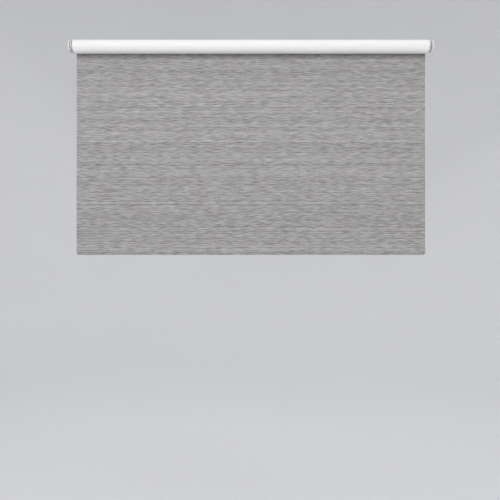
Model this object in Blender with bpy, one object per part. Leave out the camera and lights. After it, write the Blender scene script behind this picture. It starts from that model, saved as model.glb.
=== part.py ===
"""Cordless spring roller blind for fitting between the sides of a window recess.

Frame: the origin is on the roller's axis, midway between the two brackets. +X runs along the
roller to the right, -Y faces the room and +Z is up. Lengths are in metres.

The cloth leaves the back of the roll. Its woven face is towards the room, and its coated back is
outside on the roll. A torsion spring inside the left end of the tube winds the cloth up, and a
ratchet with two pawls holds it at any height.
"""

from math import cos, pi, radians, sin, tau

import bmesh
import bpy
from mathutils import Matrix

# Driving dimensions
SPAN = 1.200            # over the outer faces of the two brackets
CLOTH_WIDTH = 1.170
ROLL_R = 0.0216         # over the wound cloth
DROP = 0.690            # from the axis to the bottom of the hem
GAP = 0.0003            # between neighbouring pieces
RUN = 0.0005            # between a turning piece and a still one

# Tube and cloth
TUBE_R = 0.018
TUBE_WALL = 0.0012
GROOVE_DEPTH = 0.0016
GROOVE_HALF_ANGLE = radians(7)
GROOVE_ANGLE = radians(230)
RIB_WALL_ANGLE = radians(5)
CLOTH = 0.00042
HEM_HEIGHT = 0.021
HEM_THICK = 0.0056
HEM_WALL = 0.0007
HEM_CORNER_R = 0.0024
BAR_CORNER_R = 0.0012
POCKET_INSET = 0.001     # from the cloth's side edge to the pocket's end
BAR_INSET = 0.005        # from the cloth's side edge to the bar's end
SPLINE_WIDTH = 0.0032
SPLINE_THICK = 0.001

# Brackets
COVER_R = 0.0198
COVER_DEPTH = 0.005
COVER_WALL = 0.0006
COVER_WEB = 0.0016
PLATE_THICK = 0.0016
SCREW_HOLE_R = 0.0023
SCREW_HOLE_OFFSET = 0.0115
COVER_ROUND_R = 0.0012
COVER_SLOT_TOP = 0.0155
BUSH_WALL = 0.001
BUSH_COLLAR = 0.0015
CHAMFER = 0.001
SMALL_CHAMFER = 0.0007
PAST = 0.002            # how far a cutter reaches past what it cuts
TANG_THICK = 0.003
TANG_HEIGHT = 0.0094

# Spring end, on the left
LEFT_TUBE_END = 0.5893
LEFT_FLANGE_R = 0.0192
LEFT_FLANGE = (0.5896, 0.5925)
CAP_CAVITY_R = 0.0139
CAP_BORE_R = 0.0125
CAP_WEB = (0.571, 0.576)
CAP_END = 0.556
SHANK_R = 0.005
SHANK = (0.560, 0.5938)
ROD_R = 0.004
ROD = (0.232, 0.5717)
CROSS_PIN_X = -0.565
CROSS_PIN_R = 0.001
CLIP_THICK = 0.001
CLIP_R = 0.007
CLIP_MOUTH = 0.0044
WHEEL_R = 0.009
WHEEL = (0.580, 0.585)
WHEEL_TEETH = 4
NOTCH_DEPTH = 0.0022
PAWL = (0.5806, 0.5844)
PAWL_PIVOT_R = 0.0113
PAWL_PIVOT_ANGLE = radians(50)
PAWL_REACH = radians(45)
PAWL_PIN_R = 0.0012
PAWL_PIN_HEAD_R = 0.0018
PAWL_PIN_HEAD = 0.0012
PAWL_PIN_SEAT = 0.003
PAWL_HUB_R = 0.0019
PAWL_ARM = 0.0018
PAWL_NOSE_CLEARANCE = 0.0004
PAWL_COVER = (0.5868, 0.5878)
SPRING = (0.262, 0.548)
SPRING_R = (0.009, 0.0108)
ANCHOR_LENGTH = 0.018
ANCHOR_FLANGE = 0.004
ANCHOR_FLANGE_R = 0.0115
DRIVE_PLUG_LENGTH = 0.022
DRIVE_NOSE_LENGTH = 0.018
BEARING_LENGTH = 0.010
BEARING_FLANGE = 0.0015
BEARING_FLANGE_R = 0.0085

# Idle end, on the right
RIGHT_TUBE_END = 0.5865
RIGHT_FLANGE_R = 0.0194
RIGHT_FLANGE = (0.5868, 0.5894)
IDLE_PLUG_END = 0.545
PIN_R = 0.003
PIN_TIP = 0.5992
PIN_COLLAR = (0.571, 0.574)
PIN_COLLAR_R = 0.0055
PIN_BORE_END = 0.578
RETAINER = (0.5454, 0.5484)
COIL_WIRE_R = 0.0004
COIL_TURNS = 7

PLUG_R = TUBE_R - TUBE_WALL - GAP
FACE = SPAN / 2
LEFT, RIGHT = -1, 1

COLOURS = {
    # name: (colour, roughness, metallic)
    "coated_steel": ((0.80, 0.80, 0.78), 0.45, 0.0),
    "white_abs": ((0.80, 0.80, 0.78), 0.40, 0.0),
    "grey_nylon": ((0.55, 0.55, 0.54), 0.50, 0.0),
    "zinc_steel": ((0.55, 0.56, 0.57), 0.35, 1.0),
    "spring_steel": ((0.30, 0.30, 0.31), 0.35, 1.0),
    "mill_aluminium": ((0.75, 0.76, 0.77), 0.35, 1.0),
    "woven_cloth": ((0.35, 0.345, 0.335), 0.90, 0.0),
    "coated_cloth": ((0.86, 0.86, 0.85), 0.60, 0.0),
    "clear_pvc": ((0.70, 0.70, 0.68), 0.40, 0.0),
}


def remove_everything():
    for old in list(bpy.data.objects):
        bpy.data.objects.remove(old, do_unlink=True)


def material(name):
    found = bpy.data.materials.get(name)
    if found:
        return found
    colour, roughness, metallic = COLOURS[name]
    made = bpy.data.materials.new(name)
    made.use_nodes = True
    shader = made.node_tree.nodes["Principled BSDF"]
    shader.inputs["Base Color"].default_value = (*colour, 1)
    shader.inputs["Roughness"].default_value = roughness
    shader.inputs["Metallic"].default_value = metallic
    made.diffuse_color = (*colour, 1)
    return made


# Shapes. Every one is a closed mesh about or along the X axis.

def circle(radius, sides, start=0.0):
    """Points (y, z) round a circle."""
    return [
        (radius * cos(start + tau * i / sides), radius * sin(start + tau * i / sides))
        for i in range(sides)
    ]


def finished(bm):
    bmesh.ops.remove_doubles(bm, verts=bm.verts, dist=1e-7)
    bmesh.ops.recalc_face_normals(bm, faces=bm.faces)
    mesh = bpy.data.meshes.new("shape")
    bm.to_mesh(mesh)
    bm.free()
    mesh.shade_smooth()
    mesh.set_sharp_from_angle(angle=radians(35))
    return mesh


def turned(profile, sides=48, bore=True):
    """A profile of (x, radius) points turned about X; one without a bore ends on the axis."""
    bm = bmesh.new()
    verts = [bm.verts.new((x, radius, 0)) for x, radius in profile]
    edges = [bm.edges.new(pair) for pair in zip(verts, verts[1:])]
    if bore:
        edges.append(bm.edges.new((verts[-1], verts[0])))
    bmesh.ops.spin(
        bm, geom=verts + edges, cent=(0, 0, 0), axis=(1, 0, 0), angle=tau, steps=sides
    )
    return finished(bm)


def rod(low, high, radius, sides=32):
    return turned([(low, 0), (low, radius), (high, radius), (high, 0)], sides, bore=False)


def sleeve(low, high, inner, outer, sides=32):
    return turned([(low, inner), (low, outer), (high, outer), (high, inner)], sides)


def prism(outline, low, high):
    """An outline of (y, z) points run along X."""
    bm = bmesh.new()
    face = bm.faces.new([bm.verts.new((low, y, z)) for y, z in outline])
    run = bmesh.ops.extrude_face_region(bm, geom=[face])
    moved = [v for v in run["geom"] if isinstance(v, bmesh.types.BMVert)]
    bmesh.ops.translate(bm, vec=(high - low, 0, 0), verts=moved)
    return finished(bm)


def hollow_prism(outer, inner, low, high):
    """Two outlines with the same number of points, run along X as one wall."""
    bm = bmesh.new()
    loops = [
        [bm.verts.new((x, y, z)) for y, z in outline]
        for outline, x in ((outer, low), (outer, high), (inner, high), (inner, low))
    ]
    for here, there in zip(loops, loops[1:] + loops[:1]):
        for i in range(len(outer)):
            j = (i + 1) % len(outer)
            bm.faces.new((here[i], here[j], there[j], there[i]))
    return finished(bm)


def block(x, y, z):
    """A box from its (low, high) pairs."""
    return prism([(y[0], z[0]), (y[1], z[0]), (y[1], z[1]), (y[0], z[1])], *x)


def rounded_rectangle(width, height, radius, steps=4):
    """Points (y, z) about the origin."""
    points = []
    for quarter, (side_y, side_z) in enumerate(((1, 1), (-1, 1), (-1, -1), (1, -1))):
        for i in range(steps + 1):
            turn = (quarter + i / steps) * pi / 2
            points.append(
                (
                    side_y * (width / 2 - radius) + radius * cos(turn),
                    side_z * (height / 2 - radius) + radius * sin(turn),
                )
            )
    return points


def coil(low, high, radius, wire, turns, steps=14, sides=5):
    """A helical spring of round wire about X."""
    bm = bmesh.new()
    rings = []
    for i in range(turns * steps + 1):
        share = i / (turns * steps)
        turn = tau * turns * share
        x = low + wire + (high - low - 2 * wire) * share
        ring = []
        for j in range(sides):
            around = tau * j / sides
            out = radius + wire * cos(around)
            ring.append(bm.verts.new((x + wire * sin(around), out * cos(turn), out * sin(turn))))
        rings.append(ring)
    for here, there in zip(rings, rings[1:]):
        for j in range(sides):
            k = (j + 1) % sides
            bm.faces.new((here[j], here[k], there[k], there[j]))
    bm.faces.new(rings[0])
    bm.faces.new(rings[-1])
    return finished(bm)


# Objects

def empty(name, location=(0, 0, 0), parent=None):
    """A joint's or a body's reference point; it isn't a piece."""
    made = bpy.data.objects.new(name, None)
    made.empty_display_size = 0.02
    made.location = location
    made.parent = parent
    bpy.context.scene.collection.objects.link(made)
    return made


def piece(name, mesh, finish, parent, location=(0, 0, 0), rotation=(0, 0, 0)):
    mesh.name = name
    mesh.materials.append(material(finish))
    made = bpy.data.objects.new(name, mesh)
    made.location = location
    made.rotation_euler = rotation
    made.parent = parent
    bpy.context.scene.collection.objects.link(made)
    return made


def combine(target, mesh, operation="DIFFERENCE", location=(0, 0, 0), rotation=(0, 0, 0)):
    """Cut or join a shape that stands in the target's own space."""
    tool = bpy.data.objects.new(target.name + "_tool", mesh)
    tool.location = location
    tool.rotation_euler = rotation
    tool.parent = target
    tool.hide_render = True
    tool.display_type = "WIRE"
    bpy.context.scene.collection.objects.link(tool)
    step = target.modifiers.new(operation.lower(), "BOOLEAN")
    step.operation = operation
    step.solver = "EXACT"
    step.object = tool


def mirrored(mesh, side):
    """The mesh as drawn for the right-hand side, or its mirror image for the left."""
    if side == LEFT:
        bm = bmesh.new()
        bm.from_mesh(mesh)
        bmesh.ops.transform(bm, matrix=Matrix.Scale(-1, 4, (1, 0, 0)), verts=bm.verts)
        return finished(bm)
    return mesh


# Brackets

def bracket_plate(side, parent):
    """Pressed steel disc, screwed to the side of the recess through its two side holes."""
    name = "left_bracket_plate" if side == LEFT else "right_bracket_plate"
    disc = rod(FACE - PLATE_THICK, FACE, COVER_R - COVER_WALL - GAP, 48)
    plate = piece(name, mirrored(disc, side), "coated_steel", parent)
    through = (FACE - 2 * PLATE_THICK, FACE + PLATE_THICK)
    for offset in (-SCREW_HOLE_OFFSET, SCREW_HOLE_OFFSET):
        hole = mirrored(rod(*through, SCREW_HOLE_R, 20), side)
        combine(plate, hole, location=(0, offset, 0))
    if side == LEFT:
        slot_half = TANG_THICK / 2 + GAP
        slot = block(through, (-slot_half, slot_half), (-TANG_HEIGHT / 2 - GAP, COVER_R + GAP))
        combine(plate, mirrored(slot, side))
    else:
        combine(plate, rod(*through, PIN_R + 3 * GAP + BUSH_WALL, 32))
    return plate


def bracket_cover(side, parent):
    """Moulded cap that clips over the plate and hides its screws."""
    name = "left_bracket_cover" if side == LEFT else "right_bracket_cover"
    web = FACE - COVER_DEPTH
    round_r = COVER_ROUND_R
    corner = [
        (
            web + round_r - round_r * sin(pi / 2 * i / 3),
            COVER_R - round_r + round_r * cos(pi / 2 * i / 3),
        )
        for i in range(4)
    ]
    inner_r = COVER_R - COVER_WALL
    profile = [(FACE, inner_r), (FACE, COVER_R), *corner, (web, 0), (web + COVER_WEB, 0)]
    shell = turned([*profile, (web + COVER_WEB, inner_r), (FACE, inner_r)], 56, bore=False)
    cover = piece(name, mirrored(shell, side), "white_abs", parent)
    if side == LEFT:
        slot_half = TANG_THICK / 2 + 2 * GAP
        through = (web - COVER_WEB, web + 2 * COVER_WEB)
        slot = block(through, (-slot_half, slot_half), (-TANG_HEIGHT / 2 - 2 * GAP, COVER_SLOT_TOP))
        combine(cover, mirrored(slot, side))
    else:
        combine(cover, rod(web - COVER_WEB, web + 2 * COVER_WEB, PIN_R + 3 * GAP, 32))
    return cover


def right_bush(parent):
    """Nylon bush in the right plate, in which the idle pin turns."""
    inner = PIN_R + GAP
    outer = PIN_R + 2 * GAP + BUSH_WALL
    collar_high = FACE - PLATE_THICK - GAP
    collar_low = collar_high - BUSH_WALL
    profile = [
        (collar_low, inner),
        (collar_low, outer + BUSH_COLLAR),
        (collar_high, outer + BUSH_COLLAR),
        (collar_high, outer),
        (FACE - GAP, outer),
        (FACE - GAP, inner),
    ]
    return piece("right_bracket_bush", turned(profile, 32), "grey_nylon", parent)


# Still parts of the spring end

def spindle_tang(parent):
    """Flat tang that the left bracket holds from turning, with its round shank."""
    blade_low = SHANK[1] - PAST / 2
    shank = mirrored(rod(*SHANK, SHANK_R, 32), LEFT)
    tang = piece("spindle_tang", shank, "zinc_steel", parent)
    half_y = TANG_THICK / 2
    half_z = TANG_HEIGHT / 2
    blade = block((blade_low, FACE - 2 * GAP), (-half_y, half_y), (-half_z, half_z))
    combine(tang, mirrored(blade, LEFT), "UNION")
    socket = mirrored(rod(SHANK[0] - PAST, ROD[1] + GAP, ROD_R + GAP, 32), LEFT)
    combine(tang, socket)
    combine(tang, cross_hole(), location=(CROSS_PIN_X, 0, 0), rotation=(0, 0, pi / 2))
    return tang


def cross_hole():
    return rod(-SHANK_R - PAST, SHANK_R + PAST, CROSS_PIN_R + GAP, 16)


def spindle_rod(parent):
    """Steel rod that runs from the tang through the spring to the drive plug."""
    spindle = piece("spindle_rod", mirrored(rod(*ROD, ROD_R, 24), LEFT), "zinc_steel", parent)
    combine(spindle, cross_hole(), location=(CROSS_PIN_X, 0, 0), rotation=(0, 0, pi / 2))
    return spindle


def spindle_cross_pin(parent):
    pin = rod(-SHANK_R, SHANK_R, CROSS_PIN_R, 12)
    return piece(
        "spindle_cross_pin", pin, "zinc_steel", parent, (CROSS_PIN_X, 0, 0), (0, 0, pi / 2)
    )


def ratchet_wheel(parent):
    """Steel wheel on the shank; a pawl that drops into a notch stops the tube winding up."""
    nose = PAWL_PIVOT_ANGLE + PAWL_REACH
    pitch = tau / WHEEL_TEETH
    inner_r = SHANK_R + GAP
    # (angle from the notch's middle, radius): a steep wall ahead of the pawl and a ramp behind
    tooth = [
        (radians(-26), WHEEL_R),
        (radians(-15), WHEEL_R - NOTCH_DEPTH),
        (radians(0), WHEEL_R - NOTCH_DEPTH),
        (radians(13), WHEEL_R - NOTCH_DEPTH),
        (radians(15), WHEEL_R),
        (radians(28), WHEEL_R),
        (radians(41), WHEEL_R),
        (radians(53), WHEEL_R),
    ]
    corners = [
        (nose + pitch * k + turn, radius) for k in range(WHEEL_TEETH) for turn, radius in tooth
    ]
    outer = [(radius * cos(turn), radius * sin(turn)) for turn, radius in corners]
    inner = [(inner_r * cos(turn), inner_r * sin(turn)) for turn, radius in corners]
    wheel = mirrored(hollow_prism(outer, inner, *WHEEL), LEFT)
    return piece("ratchet_wheel", wheel, "zinc_steel", parent)


def spring_anchor(parent):
    """Nylon plug fixed on the spindle, which grips the spring's still end."""
    inner = ROD_R + GAP
    nose = SPRING_R[0] - GAP
    low, high = SPRING[1] - ANCHOR_LENGTH, SPRING[1] + GAP
    flange_end = high + ANCHOR_FLANGE
    profile = [
        (low, inner),
        (low, nose - SMALL_CHAMFER),
        (low + SMALL_CHAMFER, nose),
        (high, nose),
        (high, ANCHOR_FLANGE_R),
        (flange_end, ANCHOR_FLANGE_R),
        (flange_end, inner),
    ]
    return piece("spring_anchor", mirrored(turned(profile, 32), LEFT), "grey_nylon", parent)


def spindle_clip(parent):
    """Spring clip on the spindle's inner end."""
    low = ROD[0] + PAST
    high = low + CLIP_THICK
    clip = mirrored(sleeve(low, high, ROD_R + GAP, CLIP_R, 24), LEFT)
    clip_piece = piece("spindle_clip", clip, "spring_steel", parent)
    half = CLIP_MOUTH / 2
    mouth = block((low - CLIP_THICK, high + CLIP_THICK), (-half, half), (-CLIP_R - PAST, 0))
    combine(clip_piece, mirrored(mouth, LEFT))
    return clip_piece


# Turning parts

def polar_section(radius, dent, half_angle):
    """A circle that steps in by dent for a stretch centred on the groove."""
    points = []
    sides = 48
    spread = tau - 2 * half_angle
    for i in range(sides + 1):
        turn = GROOVE_ANGLE + half_angle + spread * i / sides
        points.append((radius * cos(turn), radius * sin(turn)))
    for i in range(5):
        turn = GROOVE_ANGLE - half_angle + 2 * half_angle * i / 4
        points.append(((radius - dent) * cos(turn), (radius - dent) * sin(turn)))
    return points


def roller_tube(parent):
    """Extruded aluminium tube with a groove for the cloth's spline."""
    outer = polar_section(TUBE_R, GROOVE_DEPTH, GROOVE_HALF_ANGLE)
    inner = polar_section(TUBE_R - TUBE_WALL, GROOVE_DEPTH, GROOVE_HALF_ANGLE + RIB_WALL_ANGLE)
    tube = hollow_prism(outer, inner, -LEFT_TUBE_END, RIGHT_TUBE_END)
    return piece("roller_tube", tube, "mill_aluminium", parent)


def fabric_spline(parent):
    """Plastic strip that holds the cloth's top edge in the tube's groove."""
    half = SPLINE_WIDTH / 2
    low = TUBE_R - GROOVE_DEPTH + GAP
    along = (-CLOTH_WIDTH / 2, CLOTH_WIDTH / 2)
    strip = block(along, (low, low + SPLINE_THICK), (-half, half))
    return piece("fabric_spline", strip, "clear_pvc", parent, rotation=(GROOVE_ANGLE, 0, 0))


def fabric_roll(parent):
    """The cloth that is still wound, as one ring."""
    wound = sleeve(-CLOTH_WIDTH / 2, CLOTH_WIDTH / 2, TUBE_R + GAP, ROLL_R, 56)
    return piece("fabric_roll", wound, "coated_cloth", parent)


def cut_keyway(plug, low, high, side):
    """Clear the rib that the tube's groove makes inside it."""
    rib_half_angle = GROOVE_HALF_ANGLE + RIB_WALL_ANGLE
    half = (TUBE_R - TUBE_WALL) * sin(rib_half_angle) + GAP
    depth = (TUBE_R - TUBE_WALL - GROOVE_DEPTH) * cos(rib_half_angle) - GAP
    keyway = block((low, high), (depth, TUBE_R), (-half, half))
    combine(plug, mirrored(keyway, side), rotation=(GROOVE_ANGLE, 0, 0))


def spring_end_cap(parent):
    """Moulded cap in the tube's left end, with a cup for the pawls."""
    bush_r = SHANK_R + 2 * GAP + BUSH_WALL
    profile = [
        (LEFT_FLANGE[1], CAP_CAVITY_R),
        (LEFT_FLANGE[1], LEFT_FLANGE_R - SMALL_CHAMFER),
        (LEFT_FLANGE[1] - SMALL_CHAMFER, LEFT_FLANGE_R),
        (LEFT_FLANGE[0], LEFT_FLANGE_R),
        (LEFT_FLANGE[0], PLUG_R),
        (CAP_END + CHAMFER, PLUG_R),
        (CAP_END, PLUG_R - CHAMFER),
        (CAP_END, CAP_BORE_R),
        (CAP_WEB[0], CAP_BORE_R),
        (CAP_WEB[0], bush_r + GAP),
        (CAP_WEB[1], bush_r + GAP),
        (CAP_WEB[1], CAP_CAVITY_R),
    ]
    cap = piece("spring_end_cap", mirrored(turned(profile, 48), LEFT), "white_abs", parent)
    for turn in (PAWL_PIVOT_ANGLE, PAWL_PIVOT_ANGLE + pi):
        y, z = PAWL_PIVOT_R * cos(turn), PAWL_PIVOT_R * sin(turn)
        seat = rod(CAP_WEB[1] - PAWL_PIN_SEAT, CAP_WEB[1] + PAST, PAWL_PIN_R + GAP, 16)
        combine(cap, mirrored(seat, LEFT), location=(0, y, z))
    cut_keyway(cap, CAP_END - PAST, LEFT_FLANGE[0], LEFT)
    return cap


def cap_bush(parent):
    """Nylon bush in the cap, which turns on the shank."""
    bush = sleeve(*CAP_WEB, SHANK_R + GAP, SHANK_R + GAP + BUSH_WALL, 32)
    return piece("cap_bush", mirrored(bush, LEFT), "grey_nylon", parent)


def pawl_cover(parent):
    """Steel disc that closes the cup."""
    disc = sleeve(*PAWL_COVER, SHANK_R + RUN, CAP_CAVITY_R - GAP, 40)
    return piece("pawl_cover", mirrored(disc, LEFT), "zinc_steel", parent)


def pawl(name, turn, parent):
    """Pivoted lever; its object's origin is on its pin."""
    centre_y, centre_z = PAWL_PIVOT_R * cos(turn), PAWL_PIVOT_R * sin(turn)
    hub = mirrored(rod(*PAWL, PAWL_HUB_R, 24), LEFT)
    joint = empty(name + "_axis", (0, centre_y, centre_z), parent)
    lever = piece(name, hub, "zinc_steel", joint)
    arm_r = (PAWL_PIVOT_R - PAWL_ARM / 2, PAWL_PIVOT_R + PAWL_ARM / 2)
    nose_r = WHEEL_R + PAWL_NOSE_CLEARANCE
    tip_half = radians(5)
    end = turn + PAWL_REACH
    steps = 6
    sweep = [turn + (end + tip_half - turn) * i / steps for i in range(steps + 1)]
    back = [turn + (end - tip_half - turn) * i / steps for i in range(steps, -1, -1)]
    polar = [(a, arm_r[1]) for a in sweep] + [(end + tip_half, nose_r), (end - tip_half, nose_r)]
    polar += [(a, arm_r[0]) for a in back]
    outline = [(r * cos(a) - centre_y, r * sin(a) - centre_z) for a, r in polar]
    relief = GAP / 3
    arm = mirrored(prism(outline, PAWL[0] + relief, PAWL[1] - relief), LEFT)
    combine(lever, arm, "UNION")
    bore = mirrored(rod(PAWL[0] - PAST, PAWL[1] + PAST, PAWL_PIN_R + GAP, 20), LEFT)
    combine(lever, bore)
    return lever


def pawl_pin(name, turn, parent):
    """Headed pin that stands in the cap."""
    foot = CAP_WEB[1] - PAWL_PIN_SEAT + GAP
    head_low = PAWL[1] + GAP
    head_high = head_low + PAWL_PIN_HEAD
    profile = [
        (foot, 0),
        (foot, PAWL_PIN_R),
        (head_low, PAWL_PIN_R),
        (head_low, PAWL_PIN_HEAD_R),
        (head_high, PAWL_PIN_HEAD_R),
        (head_high, 0),
    ]
    place = (0, PAWL_PIVOT_R * cos(turn), PAWL_PIVOT_R * sin(turn))
    shape = mirrored(turned(profile, 16, bore=False), LEFT)
    return piece(name, shape, "zinc_steel", parent, place)


def torsion_spring(parent):
    """The wound coils of the lift spring, as one close sleeve."""
    coils = sleeve(*SPRING, *SPRING_R, 32)
    return piece("torsion_spring", mirrored(coils, LEFT), "spring_steel", parent)


def spring_drive_plug(parent):
    """Plug keyed into the tube, which the spring's other end turns."""
    bore_r = ROD_R + 3 * GAP + BUSH_WALL
    nose = SPRING_R[0] - GAP
    low, high = SPRING[0] - DRIVE_PLUG_LENGTH, SPRING[0] + DRIVE_NOSE_LENGTH
    face = SPRING[0] - GAP
    profile = [
        (low, bore_r),
        (low, PLUG_R - SMALL_CHAMFER),
        (low + SMALL_CHAMFER, PLUG_R),
        (face, PLUG_R),
        (face, nose),
        (high - SMALL_CHAMFER, nose),
        (high, nose - SMALL_CHAMFER),
        (high, bore_r),
    ]
    shape = mirrored(turned(profile, 48), LEFT)
    plug = piece("spring_drive_plug", shape, "grey_nylon", parent)
    cut_keyway(plug, low - PAST, face + PAST / 2, LEFT)
    return plug


def spindle_bearing(parent):
    """Flanged bush in the drive plug, which turns on the spindle's end."""
    inner = ROD_R + GAP
    outer = ROD_R + 2 * GAP + BUSH_WALL
    flange_high = SPRING[0] - DRIVE_PLUG_LENGTH - GAP
    flange_low = flange_high - BEARING_FLANGE
    high = SPRING[0] + BEARING_LENGTH
    profile = [
        (flange_low, inner),
        (flange_low, BEARING_FLANGE_R),
        (flange_high, BEARING_FLANGE_R),
        (flange_high, outer),
        (high, outer),
        (high, inner),
    ]
    return piece("spindle_bearing", mirrored(turned(profile, 32), LEFT), "white_abs", parent)


def idle_plug(parent):
    """Moulded plug in the tube's right end, bored for the sprung pin."""
    well_r = PIN_COLLAR_R + GAP
    profile = [
        (IDLE_PLUG_END, well_r),
        (IDLE_PLUG_END, PLUG_R - CHAMFER),
        (IDLE_PLUG_END + CHAMFER, PLUG_R),
        (RIGHT_FLANGE[0], PLUG_R),
        (RIGHT_FLANGE[0], RIGHT_FLANGE_R),
        (RIGHT_FLANGE[1] - SMALL_CHAMFER, RIGHT_FLANGE_R),
        (RIGHT_FLANGE[1], RIGHT_FLANGE_R - SMALL_CHAMFER),
        (RIGHT_FLANGE[1], PIN_R + GAP),
        (PIN_BORE_END, PIN_R + GAP),
        (PIN_BORE_END, well_r),
    ]
    plug = piece("idle_plug", turned(profile, 48), "white_abs", parent)
    cut_keyway(plug, IDLE_PLUG_END - PAST, RIGHT_FLANGE[0], RIGHT)
    return plug


def idle_pin(parent):
    """Sprung pin that drops into the right bracket."""
    profile = [
        (PIN_COLLAR[0], 0),
        (PIN_COLLAR[0], PIN_COLLAR_R),
        (PIN_COLLAR[1], PIN_COLLAR_R),
        (PIN_COLLAR[1], PIN_R),
        (PIN_TIP - CHAMFER, PIN_R),
        (PIN_TIP, PIN_R - CHAMFER),
        (PIN_TIP, 0),
    ]
    return piece("idle_pin", turned(profile, 32, bore=False), "zinc_steel", parent)


def idle_pin_spring(parent):
    low, high = RETAINER[1] + GAP, PIN_COLLAR[0] - GAP
    shape = coil(low, high, PIN_COLLAR_R - 2 * COIL_WIRE_R, COIL_WIRE_R, COIL_TURNS)
    return piece("idle_pin_spring", shape, "spring_steel", parent)


def pin_retainer(parent):
    """Disc in the plug's inner end, which the pin's spring pushes against."""
    disc = rod(*RETAINER, PIN_COLLAR_R, 24)
    return piece("pin_retainer", disc, "grey_nylon", parent)


# Hem, drawn about the middle of its section

def hem_pocket(parent):
    """Pocket that the cloth's bottom edge is turned up and welded into."""
    half = CLOTH_WIDTH / 2 - POCKET_INSET
    outer = rounded_rectangle(HEM_THICK, HEM_HEIGHT, HEM_CORNER_R)
    inner_size = (HEM_THICK - 2 * HEM_WALL, HEM_HEIGHT - 2 * HEM_WALL)
    inner = rounded_rectangle(*inner_size, HEM_CORNER_R - HEM_WALL)
    return piece("hem_pocket", hollow_prism(outer, inner, -half, half), "woven_cloth", parent)


def bar_outline():
    slack = 2 * (HEM_WALL + 1.2 * GAP)
    return rounded_rectangle(HEM_THICK - slack, HEM_HEIGHT - slack, BAR_CORNER_R, 3)


def weight_bar(parent):
    """Flat bar that keeps the cloth straight."""
    half = CLOTH_WIDTH / 2 - BAR_INSET
    return piece("weight_bar", prism(bar_outline(), -half, half), "zinc_steel", parent)


def weight_bar_cap(side, parent):
    """Moulded plug that closes the pocket's end and keeps the bar in."""
    name = "left_hem_cap" if side == LEFT else "right_hem_cap"
    body = prism(bar_outline(), CLOTH_WIDTH / 2 - BAR_INSET + GAP, CLOTH_WIDTH / 2)
    return piece(name, mirrored(body, side), "white_abs", parent)


def fabric_drop(parent):
    """The cloth that hangs from the back of the roll."""
    top = DROP - HEM_HEIGHT / 2
    bottom = HEM_HEIGHT / 2 + GAP
    half = CLOTH_WIDTH / 2
    sheet = block((-half, half), (-CLOTH / 2, CLOTH / 2), (bottom, top))
    return piece("fabric_drop", sheet, "woven_cloth", parent)


def build():
    remove_everything()

    brackets = empty("brackets")
    for side in (LEFT, RIGHT):
        bracket_plate(side, brackets)
        bracket_cover(side, brackets)
    right_bush(brackets)
    spindle_tang(brackets)
    spindle_rod(brackets)
    spindle_cross_pin(brackets)
    ratchet_wheel(brackets)
    spring_anchor(brackets)
    spindle_clip(brackets)

    roll_axis = empty("roll_axis", parent=brackets)
    roller_tube(roll_axis)
    fabric_spline(roll_axis)
    fabric_roll(roll_axis)
    spring_end_cap(roll_axis)
    cap_bush(roll_axis)
    pawl_cover(roll_axis)
    for letter, turn in (("a", PAWL_PIVOT_ANGLE), ("b", PAWL_PIVOT_ANGLE + pi)):
        pawl("pawl_" + letter, turn, roll_axis)
        pawl_pin("pawl_pin_" + letter, turn, roll_axis)
    torsion_spring(roll_axis)
    spring_drive_plug(roll_axis)
    spindle_bearing(roll_axis)
    idle_plug(roll_axis)
    idle_pin(roll_axis)
    idle_pin_spring(roll_axis)
    pin_retainer(roll_axis)

    cloth_y = ROLL_R + GAP + CLOTH / 2
    hem = empty("hem", (0, cloth_y, -DROP + HEM_HEIGHT / 2), brackets)
    hem_pocket(hem)
    weight_bar(hem)
    for side in (LEFT, RIGHT):
        weight_bar_cap(side, hem)
    fabric_drop(hem)


build()
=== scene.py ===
"""Looks of a cordless spring roller blind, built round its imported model.

The file is laid out as a Blender add-on and is run as a script. Lengths are in metres in the
model's own frame: the roller's axis is the X axis, -Y faces the room and +Z is up.
"""

from math import cos, exp, pi, radians, sin, sqrt, tau

import bmesh
import bpy
from bpy.props import FloatProperty, FloatVectorProperty, IntProperty, PointerProperty
from bpy.types import Operator, Panel, PropertyGroup
from mathutils import Matrix, Vector


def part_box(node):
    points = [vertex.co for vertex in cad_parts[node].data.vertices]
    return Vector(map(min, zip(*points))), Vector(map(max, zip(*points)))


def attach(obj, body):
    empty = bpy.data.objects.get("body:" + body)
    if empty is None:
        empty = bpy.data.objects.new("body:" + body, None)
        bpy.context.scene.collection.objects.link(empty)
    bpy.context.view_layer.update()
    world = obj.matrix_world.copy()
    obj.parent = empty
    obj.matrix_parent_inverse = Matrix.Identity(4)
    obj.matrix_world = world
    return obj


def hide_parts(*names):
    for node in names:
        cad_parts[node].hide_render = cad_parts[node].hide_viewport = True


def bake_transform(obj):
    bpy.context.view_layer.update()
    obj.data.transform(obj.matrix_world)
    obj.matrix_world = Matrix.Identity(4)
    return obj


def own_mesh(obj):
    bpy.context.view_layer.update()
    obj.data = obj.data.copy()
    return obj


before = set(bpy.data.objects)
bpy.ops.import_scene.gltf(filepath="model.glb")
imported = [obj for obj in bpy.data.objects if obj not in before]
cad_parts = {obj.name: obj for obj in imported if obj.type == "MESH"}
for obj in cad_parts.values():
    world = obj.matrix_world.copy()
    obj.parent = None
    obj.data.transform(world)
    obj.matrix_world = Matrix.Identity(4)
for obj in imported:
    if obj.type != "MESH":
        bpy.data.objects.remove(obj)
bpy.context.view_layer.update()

bl_info = {
    "name": "Roller blind",
    "version": (1, 0, 0),
    "blender": (4, 5, 0),
    "location": "3D View > Sidebar > Blind",
    "description": "Builds the cloth, hem, fittings and finishes of a spring roller blind",
    "category": "Add Mesh",
}

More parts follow.
